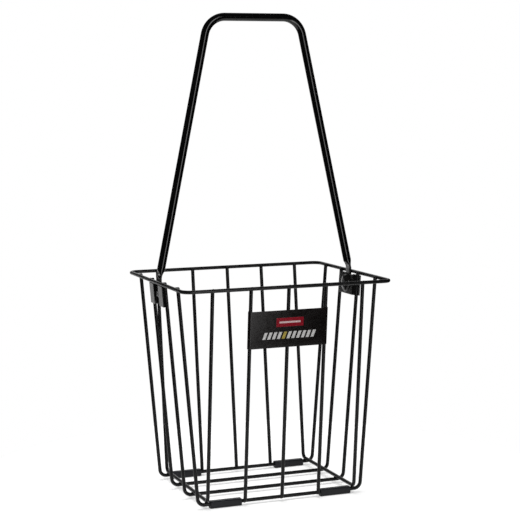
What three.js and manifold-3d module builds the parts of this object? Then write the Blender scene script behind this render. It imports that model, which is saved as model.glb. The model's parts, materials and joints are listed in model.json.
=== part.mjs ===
// Tennis ball hopper: a welded wire basket whose floor gaps are a little narrower than a ball, so that a
// ball squeezes in when the basket is pressed down on it. A tube handle tilts on two moulded brackets,
// four rubber feet grip the outer floor wires, and a plate is hooked on the front.
// Millimetres, +Z up, +X along the basket, -Y to its front; the origin is on the floor below its middle.
import * as THREE from "three";
import { mergeVertices } from "three/addons/utils/BufferGeometryUtils.js";
import Module from "manifold-3d";

const wasm = await Module();
wasm.setup();

// Wire basket
const wireDiameter = 5.5;
const fitGap = 0.3; // left at every weld, seat and grip
const longPitch = 66; // between the wires that run along the basket
const longCount = 4;
const uprightPitch = 62; // between the upright wires of the front and back
const uprightCount = 5;
const floorEndReach = 13.5; // side walls' foot lines beyond the cross wires
const sideFlare = 33.5; // rim beyond the side walls' foot lines
const frontFlare = 48; // rim beyond the outer long wires
const basketRise = 340; // rim's centre above the long wires' centres
const rimCornerRadius = 14;
const longBendRadius = 11;
const crossBendRadius = 9;

// Rubber feet
const footThickness = 11.5;
const footSink = 0.65; // foot's centre below its wire's centre
const footEndGap = 2.25; // to the wires that cross at its ends
const footCornerRadius = 2.4;

// Carrying handle
const tubeDiameter = 12.7;
const tubeWall = 1.2;
const tabSlit = 0.2; // what is left of the bore in the flattened ends
const handleRise = 415; // top bar's centre above the rim's centre
const handleTopHalf = 77; // middle to where the top bar's line meets a leg's
const handleBendRadius = 34;
const tabBendRise = 6.5; // where a tab turns into its slanting leg, above the rim's centre
const tabBendRadius = 20;
const flatEndRise = 9; // the tube begins to round out here, above the rim's centre
const roundOutLength = 11;
const pivotDrop = 19; // pivot below the rim's centre
const swingLimitDeg = 40;
const swingSpareDeg = 1;

// Handle brackets
const bracketTopDrop = 3.2;
const bracketBottomDrop = 36.5;
const bracketBack = 5; // into the basket, from the wall wires' plane
const bracketBackHalf = 26;
const hookWall = 2.95;
const hookStartDeg = -60;
const hookEndDeg = 15;
const hubDiameter = 28;
const hubDepth = 9.3; // into the basket, from the wall wires' plane
const hubEdgeRadius = 4.5;
const hubWall = 2.5;
const hubSkin = 2.8;
const bossDiameter = 11;
const channelSideGap = 2.7; // from a tab's edge to the side of the channel it is seen in
const mouthHeight = 3; // the tab's slot widens inward over this height, for the slanting leg
const mouthDepth = 0.9;

// Pivot rivets and washers
const rivetDiameter = 5;
const rivetRunGap = 0.2;
const rivetHeadDiameter = 10;
const rivetHeadHeight = 2.2;
const rivetTailDiameter = 8.5;
const rivetTailHeight = 1.5;
const rivetSeatDepth = 1.6;
const washerDiameter = 12;
const washerThickness = 1;

// Front plate
const plateThickness = 0.8;
const plateHeight = 59;
const plateTopDrop = 36; // below the rim's centre
const plateCurlDeg = 200;

// Facets
const wireSides = 12;
const bendSteps = 5;
const tubeSides = 16;
const tubeBendSteps = 8;
const tabBendSteps = 2;
const roundOutSteps = 4;
const boreSides = 24;
const arcSteps = 8;
const cutOverrun = 5;
const domeSteps = 3;
const domeEdgeShare = 0.35; // of a rivet head's height is its straight edge

// Places that follow from the sizes above
const wireRadius = wireDiameter / 2;
const weldPitch = wireDiameter + fitGap; // centre to centre of two wires that are welded side by side
const gripRadius = wireRadius + fitGap;
const longReach = (longPitch * (longCount - 1)) / 2;
const crossReach = (uprightPitch * (uprightCount - 1)) / 2;
const floorHalfLength = crossReach + floorEndReach;
const rimHalfLength = floorHalfLength + sideFlare;
const rimHalfDepth = longReach + frontFlare;
const wireZ = footThickness / 2 + footSink;
const rimZ = wireZ + basketRise;
const wireTopZ = rimZ + wireRadius;
const sideTopX = rimHalfLength - weldPitch;
const frontTopY = rimHalfDepth - weldPitch;
const frontFootY = longReach + weldPitch;
const sideLean = Math.atan((sideTopX - floorHalfLength) / basketRise);
const frontLean = Math.atan((frontTopY - frontFootY) / basketRise);
const sideXAt = (z) => floorHalfLength + (z - wireZ) * Math.tan(sideLean);
const frontYAt = (z) => frontFootY + (z - wireZ) * Math.tan(frontLean);
const pivotZ = rimZ - pivotDrop;
const pivotX = sideXAt(pivotZ);
const tabHalfThickness = tubeWall + tabSlit / 2;
const tubeRadius = tubeDiameter / 2;
const tabEdgeRadius = tabHalfThickness;
// The flattened tube keeps the round tube's girth.
const tabFlatHalf = (Math.PI * (tubeRadius - tabEdgeRadius)) / 2;
const tabHalfWidth = tabFlatHalf + tabEdgeRadius;
const bossFaceX = pivotX - tabHalfThickness - fitGap;
const washerInnerX = pivotX + tabHalfThickness + fitGap;
const tailInnerX = washerInnerX + washerThickness + fitGap;
const hubInnerX = pivotX - hubDepth;
const rivetSeatX = hubInnerX + rivetSeatDepth;

const rad = THREE.MathUtils.degToRad;
const mirrored = (points) => points.map((p) => new THREE.Vector2(p.x, -p.y)).reverse();

// Finishes
function finish(color, roughness, metalness) {
  return new THREE.MeshStandardMaterial({ color, roughness, metalness });
}

const wireFinish = finish(0x151515, 0.35, 0.4);
const tubeFinish = finish(0x101010, 0.25, 0.4);
const nylonFinish = finish(0x1a1a1a, 0.55, 0);
const rubberFinish = finish(0x25262a, 0.8, 0);
const steelFinish = finish(0x2a2a2a, 0.4, 0.8);
const plateFinish = finish(0x161616, 0.45, 0);

// A run of straight lines with round bends, stepped only where it bends. Each corner is
// { at, bend, steps }; one without a bend is an end or a plain station on a straight line.
class BentPath extends THREE.Curve {
  constructor(corners, closed = false) {
    super();
    this.stations = [];
    corners.forEach((corner, i) => {
      const before = corners[i - 1] ?? (closed ? corners.at(-1) : undefined);
      const after = corners[i + 1] ?? (closed ? corners[0] : undefined);
      this.addCorner(corner, before, after);
    });
    this.spans = closed ? this.stations.length : this.stations.length - 1;
  }

  addCorner({ at, bend, steps }, before, after) {
    const into = before ? at.clone().sub(before.at).normalize() : undefined;
    const out = after ? after.at.clone().sub(at).normalize() : undefined;
    if (!bend) {
      this.stations.push({ at, along: (into ?? out).clone() });
      return;
    }
    const turn = into.angleTo(out);
    const start = at.clone().addScaledVector(into, -bend * Math.tan(turn / 2));
    const side = out.clone().addScaledVector(into, -into.dot(out)).normalize();
    for (let k = 0; k <= steps; k++) {
      const angle = (turn * k) / steps;
      const point = start.clone().addScaledVector(into, bend * Math.sin(angle));
      point.addScaledVector(side, bend * (1 - Math.cos(angle)));
      const along = into.clone().multiplyScalar(Math.cos(angle)).addScaledVector(side, Math.sin(angle));
      this.stations.push({ at: point, along });
    }
  }

  station(share) {
    return this.stations[Math.round(share * this.spans) % this.stations.length];
  }

  getPoint(share, target = new THREE.Vector3()) {
    return target.copy(this.station(share).at);
  }

  getPointAt(share, target) {
    return this.getPoint(share, target);
  }

  getTangent(share, target = new THREE.Vector3()) {
    return target.copy(this.station(share).along);
  }

  getTangentAt(share, target) {
    return this.getTangent(share, target);
  }
}

// The points of an arc or a part of an ellipse, from one angle to another.
function arc(center, radii, fromDeg, toDeg, steps) {
  return Array.from({ length: steps + 1 }, (_, i) => {
    const angle = rad(fromDeg + ((toDeg - fromDeg) * i) / steps);
    return new THREE.Vector2(center.x + radii.x * Math.cos(angle), center.y + radii.y * Math.sin(angle));
  });
}

function circle(center, radius, sides) {
  return arc(center, { x: radius, y: radius }, 0, 360, sides).slice(0, -1);
}

const point2 = (x, y) => new THREE.Vector2(x, y);
const point3 = (x, y, z) => new THREE.Vector3(x, y, z);
const middle = point2(0, 0);

function slab(outline, depth, holes = []) {
  const shape = new THREE.Shape(outline);
  shape.holes = holes.map((hole) => new THREE.Path(hole));
  return new THREE.ExtrudeGeometry(shape, { depth, bevelEnabled: false });
}

function wireAlong(corners) {
  const extrudePath = new BentPath(corners);
  const section = new THREE.Shape(circle(middle, wireRadius, wireSides));
  return new THREE.ExtrudeGeometry(section, { steps: extrudePath.spans, extrudePath });
}

// Booleans
function solid(geometry) {
  const bare = geometry.index ? geometry.toNonIndexed() : geometry.clone();
  bare.deleteAttribute("normal");
  bare.deleteAttribute("uv");
  const { index, attributes } = mergeVertices(bare);
  const triVerts = new Uint32Array(index.array);
  return new wasm.Manifold(
    new wasm.Mesh({ numProp: 3, vertProperties: attributes.position.array, triVerts }),
  );
}

function geometryOf(body) {
  const { numProp, vertProperties, triVerts } = body.getMesh();
  const geometry = new THREE.BufferGeometry();
  geometry.setAttribute("position", new THREE.BufferAttribute(vertProperties, numProp));
  geometry.setIndex(new THREE.BufferAttribute(triVerts, 1));
  const faceted = geometry.toNonIndexed();
  faceted.computeVertexNormals();
  return faceted;
}

// Turns a slab drawn in X and Y, and raised along Z, so that these run along the three given directions.
function placed(geometry, xDirection, yDirection, zDirection, origin) {
  const matrix = new THREE.Matrix4().makeBasis(xDirection, yDirection, zDirection).setPosition(origin);
  return geometry.applyMatrix4(matrix);
}

const hopper = new THREE.Group();
const basket = new THREE.Group();
const handle = new THREE.Group();
hopper.add(basket, handle);

function addPiece(group, name, geometry, material) {
  const mesh = new THREE.Mesh(geometry, material);
  mesh.name = name;
  group.add(mesh);
  return mesh;
}

// Rim: one closed ring of wire
function addRim() {
  const corners = [
    [rimHalfLength, rimHalfDepth],
    [-rimHalfLength, rimHalfDepth],
    [-rimHalfLength, -rimHalfDepth],
    [rimHalfLength, -rimHalfDepth],
  ].map(([x, y]) => ({ at: point3(x, y, rimZ), bend: rimCornerRadius, steps: bendSteps }));
  const path = new BentPath(corners, true);
  const ring = new THREE.TubeGeometry(path, path.spans, wireRadius, wireSides, true);
  addPiece(basket, "top_rim", ring, wireFinish);
}

// Long wires: side wall, floor, side wall in one bent piece
function addLongWires() {
  for (let i = 0; i < longCount; i++) {
    const y = longReach - i * longPitch;
    const topX = sideXAt(wireTopZ);
    const corners = [
      { at: point3(-topX, y, wireTopZ) },
      { at: point3(-floorHalfLength, y, wireZ), bend: longBendRadius, steps: bendSteps },
      { at: point3(floorHalfLength, y, wireZ), bend: longBendRadius, steps: bendSteps },
      { at: point3(topX, y, wireTopZ) },
    ];
    addPiece(basket, `long_wire_${i + 1}`, wireAlong(corners), wireFinish);
  }
}

// Cross wires: front, floor and back in one bent piece, laid on the long wires
function addCrossWires() {
  const floorZ = wireZ + weldPitch;
  const topY = frontYAt(wireTopZ);
  const footY = frontYAt(floorZ);
  [["left", -crossReach], ["right", crossReach]].forEach(([side, x]) => {
    const corners = [
      { at: point3(x, -topY, wireTopZ) },
      { at: point3(x, -footY, floorZ), bend: crossBendRadius, steps: bendSteps },
      { at: point3(x, footY, floorZ), bend: crossBendRadius, steps: bendSteps },
      { at: point3(x, topY, wireTopZ) },
    ];
    addPiece(basket, `cross_wire_${side}`, wireAlong(corners), wireFinish);
  });
}

// Straight uprights between the cross wires, front and back
function addUprights() {
  const innerCount = uprightCount - 2;
  const bottomZ = wireZ - wireRadius;
  [["front", -1], ["back", 1]].forEach(([wall, side]) => {
    for (let i = 0; i < innerCount; i++) {
      const x = uprightPitch * (i - (innerCount - 1) / 2);
      const corners = [
        { at: point3(x, side * frontYAt(wireTopZ), wireTopZ) },
        { at: point3(x, side * frontYAt(bottomZ), bottomZ) },
      ];
      addPiece(basket, `${wall}_upright_${i + 1}`, wireAlong(corners), wireFinish);
    }
  });
}

// Feet: rubber sleeves round the outer long wires, between a cross wire and the next upright
function addFeet() {
  const half = footThickness / 2;
  const cornerAt = half - footCornerRadius;
  const radii = point2(footCornerRadius, footCornerRadius);
  const outline = [
    [cornerAt, cornerAt, 0],
    [-cornerAt, cornerAt, 90],
    [-cornerAt, -cornerAt, 180],
    [cornerAt, -cornerAt, 270],
  ].flatMap(([x, y, from]) => arc(point2(x, y), radii, from, from + 90, bendSteps));
  const bore = circle(point2(0, footSink), gripRadius, boreSides);
  const length = uprightPitch - wireDiameter - footEndGap * 2;
  const x = crossReach - uprightPitch / 2;
  [["front", -1], ["rear", 1]].forEach(([end, ySide]) => {
    [["left", -1], ["right", 1]].forEach(([side, xSide]) => {
      const foot = addPiece(basket, `foot_${end}_${side}`, slab(outline, length, [bore]), rubberFinish);
      placed(foot.geometry, point3(0, 1, 0), point3(0, 0, 1), point3(1, 0, 0), point3(-length / 2, 0, 0));
      foot.position.set(xSide * x, ySide * longReach, half);
    });
  });
}

// Handle: one tube, round along its legs and top bar, flattened at both ends into pivot tabs
function tubeRing(station, flatShare, inset) {
  const across = point3(0, 1, 0);
  const outward = station.along.clone().cross(across).normalize();
  const edge = tabEdgeRadius - inset;
  return Array.from({ length: tubeSides }, (_, i) => {
    const angle = (2 * Math.PI * i) / tubeSides;
    const cos = Math.cos(angle);
    const sin = Math.sin(angle);
    const onEdge = Math.abs(cos) > Math.SQRT1_2;
    const flatWidth = onEdge
      ? Math.sign(cos) * (tabFlatHalf + edge * Math.cos(2 * Math.asin(sin)))
      : tabFlatHalf * Math.SQRT2 * cos;
    const flatDepth = onEdge ? edge * Math.sin(2 * Math.asin(sin)) : edge * Math.sign(sin);
    const round = tubeRadius - inset;
    const width = THREE.MathUtils.lerp(round * cos, flatWidth, flatShare);
    const depth = THREE.MathUtils.lerp(round * sin, flatDepth, flatShare);
    return station.at.clone().addScaledVector(across, width).addScaledVector(outward, depth);
  });
}

function hollowLoft(outerRings, innerRings) {
  const rings = [...outerRings, ...innerRings.toReversed()];
  const sides = rings[0].length;
  const positions = rings.flat().flatMap((p) => [p.x, p.y, p.z]);
  const index = [];
  rings.forEach((_, r) => {
    const next = (r + 1) % rings.length;
    for (let i = 0; i < sides; i++) {
      const j = (i + 1) % sides;
      const [a, b, c, d] = [r * sides + i, r * sides + j, next * sides + j, next * sides + i];
      index.push(a, b, c, a, c, d);
    }
  });
  const geometry = new THREE.BufferGeometry();
  geometry.setAttribute("position", new THREE.Float32BufferAttribute(positions, 3));
  geometry.setIndex(index);
  return geometry;
}

function handlePath() {
  const topZ = rimZ + handleRise;
  const bendZ = rimZ + tabBendRise;
  const slope = (pivotX - handleTopHalf) / (topZ - bendZ);
  const legXAt = (z) => pivotX - (z - bendZ) * slope;
  const flatEndZ = rimZ + flatEndRise;
  const leg = [
    { at: point3(pivotX, 0, pivotZ - tabHalfWidth) },
    { at: point3(pivotX, 0, bendZ), bend: tabBendRadius, steps: tabBendSteps },
  ];
  for (let k = 0; k <= roundOutSteps; k++) {
    const z = flatEndZ + (roundOutLength * k) / roundOutSteps;
    leg.push({ at: point3(legXAt(z), 0, z) });
  }
  leg.push({ at: point3(handleTopHalf, 0, topZ), bend: handleBendRadius, steps: tubeBendSteps });
  const otherLeg = leg.map((corner) => ({ ...corner, at: corner.at.clone().setX(-corner.at.x) })).reverse();
  return new BentPath([...leg, ...otherLeg]);
}

function addHandle() {
  const flatEndZ = rimZ + flatEndRise;
  const stations = handlePath().stations;
  const flatShareAt = (z) => 1 - THREE.MathUtils.smoothstep(z, flatEndZ, flatEndZ + roundOutLength);
  const rings = (inset) => stations.map((station) => tubeRing(station, flatShareAt(station.at.z), inset));
  let tube = solid(hollowLoft(rings(0), rings(tubeWall)));
  for (const side of [-1, 1]) {
    const holeRadius = rivetDiameter / 2 + rivetRunGap;
    const hole = pivotCylinder(holeRadius, pivotX - tubeDiameter, pivotX + tubeDiameter);
    const cut = hole.add(tabEndCut());
    tube = tube.subtract(side > 0 ? cut : turnedRound(cut));
  }
  addPiece(handle, "carry_handle", geometryOf(tube), tubeFinish);
}

// A solid on the right side, turned half round the middle to the left side
function turnedRound(body) {
  return body.rotate([0, 0, 180]);
}

// A body with an outline drawn across and up from the right pivot, between two places along X
function pivotSlab(outline, fromX, toX) {
  const geometry = slab(outline, toX - fromX);
  return solid(placed(geometry, point3(0, 1, 0), point3(0, 0, 1), point3(1, 0, 0), point3(fromX, 0, pivotZ)));
}

function pivotCylinder(radius, fromX, toX) {
  return pivotSlab(circle(middle, radius, boreSides), fromX, toX);
}

// What is trimmed off below a tab's pivot so that its end is round
function tabEndCut() {
  const half = tabHalfWidth + cutOverrun;
  const outline = [point2(-half, -half), point2(half, -half), point2(half, 0), point2(-half, 0)];
  const block = pivotSlab(outline, pivotX - tubeRadius, pivotX + tubeRadius);
  return block.subtract(pivotCylinder(tabHalfWidth, pivotX - tubeDiameter, pivotX + tubeDiameter));
}

// Bracket: a moulded web between the two middle wall wires that hooks round the outside of each, with
// a round hub into the basket. The tab hangs in a slot of the web that is open above and below, fans
// out above so that the tab can tilt, and lies at the bottom of a wider channel in the outer side.
const wallUp = point3(Math.sin(sideLean), 0, Math.cos(sideLean));
const wallOut = point3(Math.cos(sideLean), 0, -Math.sin(sideLean));

// Distances along the leaning wall, from the rim's level, for a drop straight down
const alongWall = (drop) => -drop / Math.cos(sideLean);

// Drawn outward from the wall wires' plane and across it
function bracketWeb() {
  const wire = point2(0, longPitch / 2);
  const hookRadius = gripRadius + hookWall;
  const grip = arc(wire, point2(gripRadius, gripRadius), hookStartDeg, hookEndDeg, arcSteps);
  const hook = arc(wire, point2(hookRadius, hookRadius), hookEndDeg, 0, domeSteps);
  const half = [point2(-bracketBack, bracketBackHalf), ...grip, ...hook];
  const outline = [...half, ...mirrored(half)].reverse();
  const bottom = alongWall(bracketBottomDrop);
  const geometry = slab(outline, alongWall(bracketTopDrop) - bottom);
  const origin = point3(sideTopX, 0, rimZ).addScaledVector(wallUp, bottom);
  return solid(placed(geometry, wallOut, point3(0, 1, 0), wallUp, origin));
}

function bracketHub() {
  const radius = hubDiameter / 2;
  const corner = point2(radius - hubEdgeRadius, hubInnerX + hubEdgeRadius);
  const edge = arc(corner, point2(hubEdgeRadius, hubEdgeRadius), 270, 360, bendSteps);
  return solid(turned([point2(0, hubInnerX), ...edge, point2(radius, pivotX), point2(0, pivotX)]));
}

function tabSlot() {
  const reach = tabHalfWidth + fitGap;
  const limit = rad(swingLimitDeg + swingSpareDeg);
  const foot = bracketBottomDrop - pivotDrop + cutOverrun;
  const fanFoot = -reach * Math.tan(limit / 2);
  const mouthFoot = pivotDrop - bracketTopDrop - mouthHeight;
  const fanEdge = (height) => point2((reach + height * Math.sin(limit)) / Math.cos(limit), height);
  const bothSides = (right) => [...right, ...right.map((p) => point2(-p.x, p.y)).reverse()];
  const slot = bothSides([point2(reach, -foot), point2(reach, fanFoot), fanEdge(pivotDrop)]);
  const mouth = bothSides([fanEdge(mouthFoot), fanEdge(pivotDrop)]);
  const mouthSlab = pivotSlab(mouth, bossFaceX - mouthDepth, washerInnerX);
  return pivotSlab(slot, bossFaceX, washerInnerX).add(mouthSlab);
}

function tabChannel() {
  const half = tabHalfWidth + channelSideGap;
  const foot = bracketBottomDrop - pivotDrop + cutOverrun;
  const top = pivotDrop;
  const outline = [point2(-half, -foot), point2(half, -foot), point2(half, top), point2(-half, top)];
  return pivotSlab(outline, washerInnerX, pivotX + gripRadius + hookWall + cutOverrun);
}

function bracketBody() {
  const boss = pivotCylinder(bossDiameter / 2, hubInnerX, bossFaceX);
  const cavity = pivotCylinder(hubDiameter / 2 - hubWall, hubInnerX + hubSkin, washerInnerX).subtract(boss);
  const insideX = hubInnerX - cutOverrun;
  const bore = pivotCylinder(rivetDiameter / 2 + fitGap, insideX, bossFaceX + cutOverrun);
  const seat = pivotCylinder(rivetHeadDiameter / 2 + fitGap, insideX, rivetSeatX);
  const cuts = [cavity, tabSlot(), tabChannel(), bore, seat];
  return cuts.reduce((body, cut) => body.subtract(cut), bracketWeb().add(bracketHub()));
}

// A turned piece: its profile holds radii and places along X, from inside the basket to outside
function turned(profile) {
  const geometry = new THREE.LatheGeometry(profile, boreSides);
  return placed(geometry, point3(0, 0, 1), point3(1, 0, 0), point3(0, 1, 0), point3(0, 0, pivotZ));
}

function rivetGeometry() {
  const headTop = rivetSeatX - fitGap - rivetHeadHeight;
  const headEdge = headTop + rivetHeadHeight * (1 - domeEdgeShare);
  const radii = point2(rivetHeadDiameter / 2, headEdge - headTop);
  const dome = arc(point2(0, headEdge), radii, 270, 360, domeSteps);
  dome[0].x = 0;
  return turned([
    ...dome,
    point2(rivetHeadDiameter / 2, rivetSeatX - fitGap),
    point2(rivetDiameter / 2, rivetSeatX - fitGap),
    point2(rivetDiameter / 2, tailInnerX),
    point2(rivetTailDiameter / 2, tailInnerX),
    point2(rivetTailDiameter / 2, tailInnerX + rivetTailHeight),
    point2(0, tailInnerX + rivetTailHeight),
  ]);
}

function washerGeometry() {
  const bore = rivetDiameter / 2 + fitGap;
  const outer = washerInnerX + washerThickness;
  return turned([
    point2(bore, washerInnerX),
    point2(washerDiameter / 2, washerInnerX),
    point2(washerDiameter / 2, outer),
    point2(bore, outer),
    point2(bore, washerInnerX),
  ]);
}

function addPivots() {
  const bracket = geometryOf(bracketBody());
  [["right", 0], ["left", Math.PI]].forEach(([side, turn]) => {
    const pieces = [
      addPiece(basket, `handle_bracket_${side}`, bracket, nylonFinish),
      addPiece(basket, `pivot_rivet_${side}`, rivetGeometry(), steelFinish),
      addPiece(basket, `pivot_washer_${side}`, washerGeometry(), steelFinish),
    ];
    pieces.forEach((piece) => piece.rotateZ(turn));
  });
}

// Plate: a flat sheet on the front uprights, its ends curled round the outer two of them
function addPlate() {
  const outer = gripRadius + plateThickness;
  const rightEnd = 90 - plateCurlDeg;
  const wire = point2(uprightPitch, 0);
  const curl = (radius, from, to) => arc(wire, point2(radius, radius), from, to, arcSteps * 2);
  const right = [...curl(outer, 90, rightEnd), ...curl(gripRadius, rightEnd, 90)];
  const left = right.map((p) => point2(-p.x, p.y)).reverse();
  const outline = [...left, ...right].reverse();
  const geometry = slab(outline, plateHeight);
  const up = point3(0, -Math.sin(frontLean), Math.cos(frontLean));
  const out = point3(0, -Math.cos(frontLean), -Math.sin(frontLean));
  const bottomZ = rimZ - plateTopDrop - plateHeight * Math.cos(frontLean);
  placed(geometry, point3(-1, 0, 0), out, up, point3(0, -frontYAt(bottomZ), bottomZ));
  addPiece(basket, "front_plate", geometry, plateFinish);
}

addRim();
addLongWires();
addCrossWires();
addUprights();
addFeet();
addPivots();
addPlate();
addHandle();

export default hopper;
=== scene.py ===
import json
import math
import random

import bmesh
import bpy
from mathutils import Matrix, Vector, noise


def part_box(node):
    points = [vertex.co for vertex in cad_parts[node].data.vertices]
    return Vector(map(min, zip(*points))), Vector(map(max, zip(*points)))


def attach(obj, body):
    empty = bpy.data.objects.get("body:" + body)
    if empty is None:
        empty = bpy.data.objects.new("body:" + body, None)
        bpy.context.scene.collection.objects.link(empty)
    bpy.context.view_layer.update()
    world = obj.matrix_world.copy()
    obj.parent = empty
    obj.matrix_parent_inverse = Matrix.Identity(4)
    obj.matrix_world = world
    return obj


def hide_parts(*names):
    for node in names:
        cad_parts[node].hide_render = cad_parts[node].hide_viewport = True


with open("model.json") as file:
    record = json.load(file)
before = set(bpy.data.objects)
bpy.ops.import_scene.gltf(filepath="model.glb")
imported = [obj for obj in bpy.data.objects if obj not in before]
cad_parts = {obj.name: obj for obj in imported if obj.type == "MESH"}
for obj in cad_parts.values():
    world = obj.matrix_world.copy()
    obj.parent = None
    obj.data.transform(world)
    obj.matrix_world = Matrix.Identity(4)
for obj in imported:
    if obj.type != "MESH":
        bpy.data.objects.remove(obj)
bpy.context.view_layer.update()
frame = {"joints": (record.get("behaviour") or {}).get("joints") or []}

# Tennis ball hopper: fine surfaces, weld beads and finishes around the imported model. Metres, +Z up.
MM = 0.001
SEED = 11

# Wire basket
WIRE_RADIUS = 2.75 * MM
WELD_PITCH = 5.8 * MM
LONG_PITCH = 66 * MM
LONG_COUNT = 4
UPRIGHT_PITCH = 62 * MM
UPRIGHT_COUNT = 5
FLOOR_END_REACH = 13.5 * MM
RIM_CORNER_RADIUS = 14 * MM
LONG_BEND_RADIUS = 11 * MM
CROSS_BEND_RADIUS = 9 * MM
WIRE_END_ROUND = 2.2 * MM
WIRE_COAT = 0.14 * MM
FRONT_TOP_DROP = 1 * MM
UPRIGHT_END_RISE = 1.6 * MM

# Weld beads
BEAD_REACH = 2.9 * MM
BEAD_DEPTH = 1.7 * MM
BEAD_ROUGHNESS_SHARE = 0.16
BEAD_NOISE_SCALE = 1.3
BEAD_NOISE_SPAN = 9
BEAD_SUBDIVISIONS = 3

# Rubber feet
FOOT_SINK = 0.65 * MM
FOOT_CORNER_RADIUS = 2.4 * MM
FOOT_END_ROUND = 0.9 * MM
FIT_GAP = 0.3 * MM
FOOT_SEAM = 0.22 * MM
FOOT_SEAM_HALF_DEG = 4

# Handle
TUBE_RADIUS = 6.35 * MM
TUBE_COAT = 0.1 * MM
TAB_HALF_THICKNESS = 1.3 * MM
HANDLE_TOP_HALF = 77 * MM
HANDLE_BEND_RADIUS = 34 * MM
TAB_BEND_RISE = 6.5 * MM
TAB_BEND_RADIUS = 20 * MM
FLAT_END_RISE = 9 * MM
ROUND_OUT_LENGTH = 11 * MM
TAB_HOLE_RADIUS = 2.7 * MM
TAB_SQUARENESS = 6

# Handle brackets
BRACKET_TOP_DROP = 3.2 * MM
BRACKET_BOTTOM_DROP = 36.5 * MM
BRACKET_BACK = 5 * MM
BRACKET_BACK_HALF = 26 * MM
HOOK_WALL = 2.95 * MM
HOOK_START_DEG = -60
HOOK_END_DEG = 15
HUB_RADIUS = 14 * MM
HUB_DEPTH = 9.3 * MM
HUB_CROWN = 0.8 * MM
HUB_DOME_RADIUS = 42 * MM
HUB_ROUND = 2.5 * MM
HUB_WALL = 2.5 * MM
HUB_SKIN = 2.8 * MM
BOSS_RADIUS = 5.5 * MM
CHANNEL_SIDE_GAP = 2.7 * MM
MOUTH_HEIGHT = 3 * MM
MOUTH_DEPTH = 0.9 * MM
SWING_DEG = 41
CUT_OVERRUN = 5 * MM
BRACKET_VOXEL = 0.42 * MM
BRACKET_SMOOTH_TURNS = 7
BRACKET_SMOOTH_SHARE = 0.5
BRACKET_FACE_SHARE = 0.4
BRACKET_SHARP_DEG = 60

# Rivets and washers
RIVET_RADIUS = 2.5 * MM
RIVET_HEAD_RADIUS = 5 * MM
RIVET_HEAD_HEIGHT = 2.2 * MM
RIVET_TAIL_RADIUS = 4.25 * MM
RIVET_TAIL_HEIGHT = 1.5 * MM
RIVET_SEAT_DEPTH = 1.6 * MM
RIVET_EDGE = 0.4 * MM
RIVET_DIMPLE = 0.5 * MM
DIMPLE_OUTER_SHARE, DIMPLE_INNER_SHARE = 0.8, 0.4
WASHER_RADIUS = 6 * MM
WASHER_THICKNESS = 1 * MM
WASHER_EDGE = 0.2 * MM

# Front plate
PLATE_THICKNESS = 0.8 * MM
PLATE_HEIGHT = 59 * MM
PLATE_TOP_DROP = 36 * MM
PLATE_CURL_DEG = 200
PLATE_EDGE = 0.3 * MM
PLATE_EDGE_STEPS = 3
PLATE_EDGE_FROM_DEG = 50
PLATE_SHARP_DEG = 35

# Facets
SHARP_DEG = 40
WIRE_SIDES = 24
TUBE_SIDES = 48
BEND_STEP_DEG = 5
ROUND_OUT_STEPS = 16
ARC_STEP_DEG = 6
TURNED_SIDES = 64
END_STEPS = 4
TAB_TIP_STEPS = 12
DOME_STEPS = 14
POLE_RADIUS = 0.001 * MM
POLE_MERGE = 0.01 * MM

# Places that follow from the frame and the sizes above
rim_low, rim_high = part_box("top_rim")
foot_low, foot_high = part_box("foot_front_right")
handle_low, handle_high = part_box("carry_handle")
RIM_HALF_LENGTH = rim_high.x - WIRE_RADIUS
RIM_HALF_DEPTH = rim_high.y - WIRE_RADIUS
RIM_Z = (rim_low.z + rim_high.z) / 2
FOOT_HALF = (foot_high.z - foot_low.z) / 2
WIRE_Z = FOOT_HALF + FOOT_SINK
WIRE_TOP_Z = RIM_Z + WIRE_RADIUS
LONG_REACH = LONG_PITCH * (LONG_COUNT - 1) / 2
LONG_PLACES = [LONG_REACH - i * LONG_PITCH for i in range(LONG_COUNT)]
CROSS_REACH = UPRIGHT_PITCH * (UPRIGHT_COUNT - 1) / 2
FLOOR_HALF_LENGTH = CROSS_REACH + FLOOR_END_REACH
SIDE_TOP_X = RIM_HALF_LENGTH - WELD_PITCH
FRONT_TOP_Y = RIM_HALF_DEPTH - WELD_PITCH
FRONT_FOOT_Y = LONG_REACH + WELD_PITCH
SIDE_LEAN = math.atan((SIDE_TOP_X - FLOOR_HALF_LENGTH) / (RIM_Z - WIRE_Z))
FRONT_LEAN = math.atan((FRONT_TOP_Y - FRONT_FOOT_Y) / (RIM_Z - WIRE_Z))
PIVOT_Z = frame["joints"][0]["pos_m"][2]
PIVOT_X = FLOOR_HALF_LENGTH + (PIVOT_Z - WIRE_Z) * math.tan(SIDE_LEAN)
HANDLE_TOP_Z = handle_high.z - TUBE_RADIUS
FLAT_END_Z = RIM_Z + FLAT_END_RISE
TAB_HALF_WIDTH = PIVOT_Z - handle_low.z
GRIP_RADIUS = WIRE_RADIUS + FIT_GAP
COATED_RADIUS = WIRE_RADIUS + WIRE_COAT
BOSS_FACE_X = PIVOT_X - TAB_HALF_THICKNESS - FIT_GAP
WASHER_INNER_X = PIVOT_X + TAB_HALF_THICKNESS + FIT_GAP
TAIL_INNER_X = WASHER_INNER_X + WASHER_THICKNESS + FIT_GAP
HUB_INNER_X = PIVOT_X - HUB_DEPTH
RIVET_SEAT_X = HUB_INNER_X + RIVET_SEAT_DEPTH
PLATE_BOTTOM_Z = RIM_Z - PLATE_TOP_DROP - PLATE_HEIGHT * math.cos(FRONT_LEAN)

X_AXIS, Y_AXIS, Z_AXIS = Vector((1, 0, 0)), Vector((0, 1, 0)), Vector((0, 0, 1))
HALF_TURN = Matrix.Rotation(math.pi, 4, "Z")

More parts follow.
